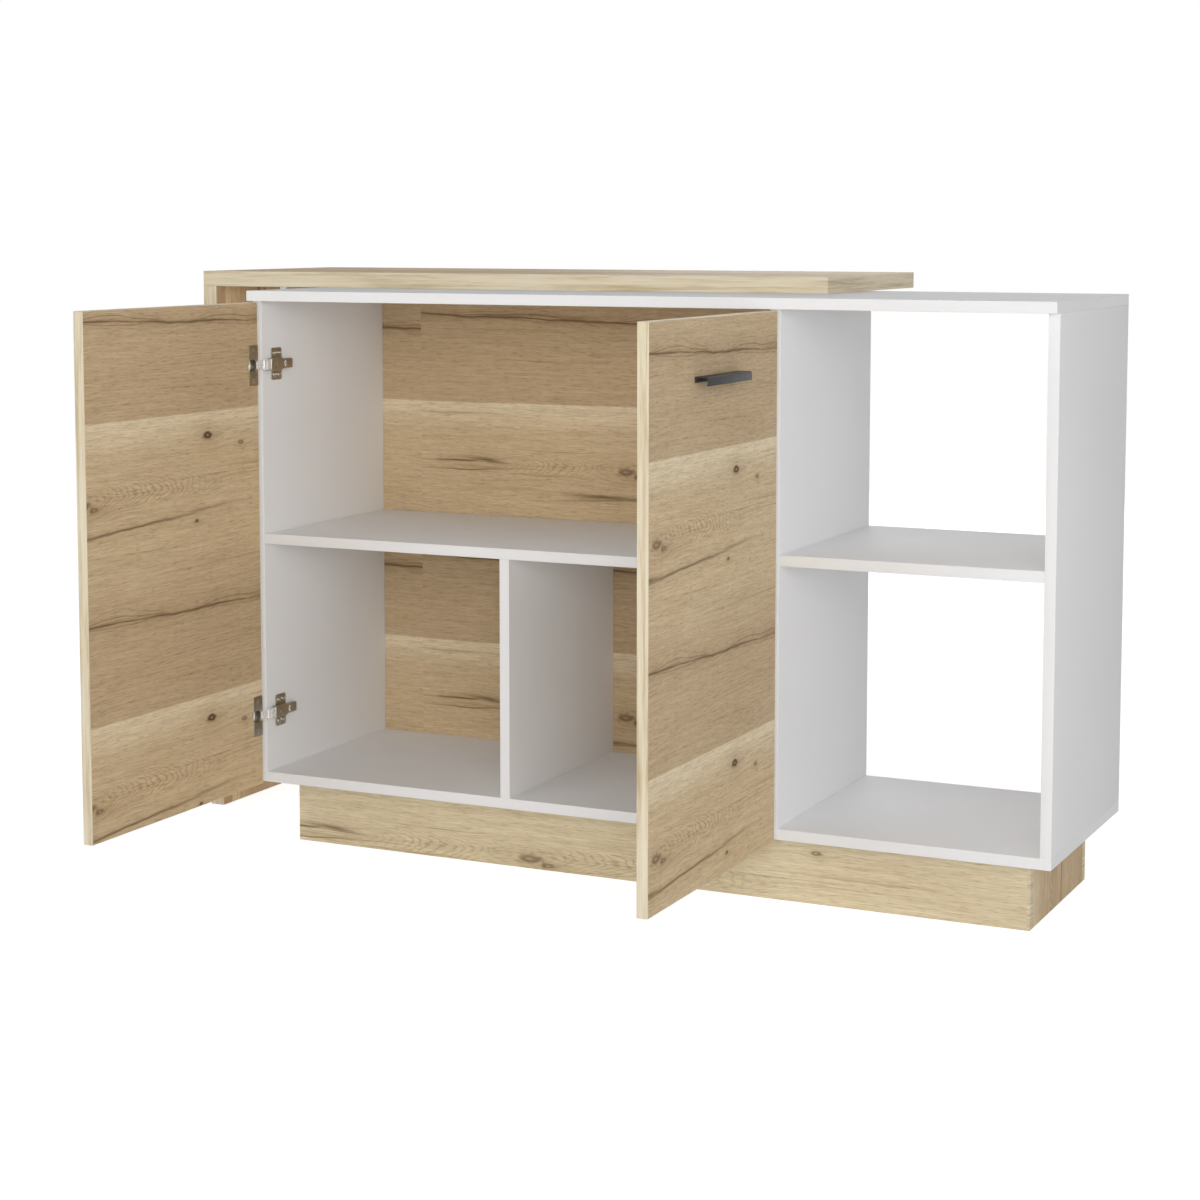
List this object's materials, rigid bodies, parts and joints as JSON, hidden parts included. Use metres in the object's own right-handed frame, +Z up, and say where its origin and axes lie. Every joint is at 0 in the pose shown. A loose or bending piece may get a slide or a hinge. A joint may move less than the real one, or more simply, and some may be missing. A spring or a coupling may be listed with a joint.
{
  "type": "kitchen island",
  "caption": "Free-standing white cabinet on an oak plinth with hinged oak doors, open niches that go right through, and an oak breakfast bar on top with a leg panel.",
  "frame": {"origin": "on the floor, under the middle of the cabinet's footprint, on the foot of the plinth's middle stretcher", "axes": "+X to the right along the cabinet, seen from the doors; +Y from the doors to the back; +Z up"},
  "size_m": [1.5, 1.042, 0.9],
  "materials": {
    "white_board": "satin white melamine on chipboard",
    "oak_board": "matt natural oak decor with knots and fine cracks",
    "oak_edging": "matt light oak edging strip",
    "beech_dowel": "raw beech",
    "graphite_metal": "matt graphite powder coat",
    "nickel_steel": "bright nickel plate",
    "zinc_screw": "bright zinc plate"
  },
  "bodies": {
    "cabinet": {"bar_bracket_screws": "zinc_screw", "bar_brackets": "nickel_steel", "bar_dowels": "beech_dowel", "bar_leg": "oak_board", "bar_leg_edging": "oak_edging", "bar_screws": "zinc_screw", "bar_top": "oak_board", "bar_top_edging": "oak_edging", "bottom_board": "white_board", "carcass_dowels": "beech_dowel", "carcass_screws": "zinc_screw", "cupboard_shelf": "white_board", "divider": "white_board", "hinge_arm_screws": "zinc_screw", "hinge_pins": "nickel_steel", "hinge_plate_screws": "zinc_screw", "left_lower_hinge_arm": "nickel_steel", "left_lower_hinge_plate": "nickel_steel", "left_side": "white_board", "left_upper_hinge_arm": "nickel_steel", "left_upper_hinge_plate": "nickel_steel", "lower_back": "oak_board", "open_shelf": "white_board", "partition": "white_board", "plinth_brackets": "nickel_steel", "plinth_dowels": "beech_dowel", "plinth_front": "oak_board", "plinth_left": "oak_board", "plinth_rear": "oak_board", "plinth_right": "oak_board", "plinth_screws": "zinc_screw", "plinth_stretcher": "oak_board", "right_lower_hinge_arm": "nickel_steel", "right_lower_hinge_plate": "nickel_steel", "right_side": "white_board", "right_upper_hinge_arm": "nickel_steel", "right_upper_hinge_plate": "nickel_steel", "top_board": "white_board", "upper_back": "oak_board"},
    "left_door": {"left_cup_screws": "zinc_screw", "left_door_edging": "oak_edging", "left_door_handle": "graphite_metal", "left_door_panel": "oak_board", "left_handle_screws": "zinc_screw", "left_lower_hinge_cup": "nickel_steel", "left_upper_hinge_cup": "nickel_steel"},
    "right_door": {"right_cup_screws": "zinc_screw", "right_door_edging": "oak_edging", "right_door_handle": "graphite_metal", "right_door_panel": "oak_board", "right_handle_screws": "zinc_screw", "right_lower_hinge_cup": "nickel_steel", "right_upper_hinge_cup": "nickel_steel"},
    "left_hinge_links": {"left_lower_hinge_link": "nickel_steel", "left_upper_hinge_link": "nickel_steel"},
    "right_hinge_links": {"right_lower_hinge_link": "nickel_steel", "right_upper_hinge_link": "nickel_steel"}
  },
  "joints": [
    {"name": "left_door_hinge", "type": "hinge", "parent": "cabinet", "child": "left_door", "pos_m": [-0.634, -0.2055, 0.4795], "axis": [0, 0, 1], "range_deg": [-5, 90]},
    {"name": "right_door_hinge", "type": "hinge", "parent": "cabinet", "child": "right_door", "pos_m": [0.236, -0.2055, 0.4795], "axis": [0, 0, -1], "range_deg": [-5, 90]},
    {"name": "left_link_pivot", "type": "hinge", "parent": "cabinet", "child": "left_hinge_links", "pos_m": [-0.6155, -0.195, 0.4795], "axis": [0, 0, 1], "range_deg": [-5, 90]},
    {"name": "right_link_pivot", "type": "hinge", "parent": "cabinet", "child": "right_hinge_links", "pos_m": [0.2175, -0.195, 0.4795], "axis": [0, 0, -1], "range_deg": [-5, 90]}
  ],
  "couplings": [
    {"joint": "left_link_pivot", "follows": "left_door_hinge", "ratio": 1},
    {"joint": "right_link_pivot", "follows": "right_door_hinge", "ratio": 1}
  ]
}
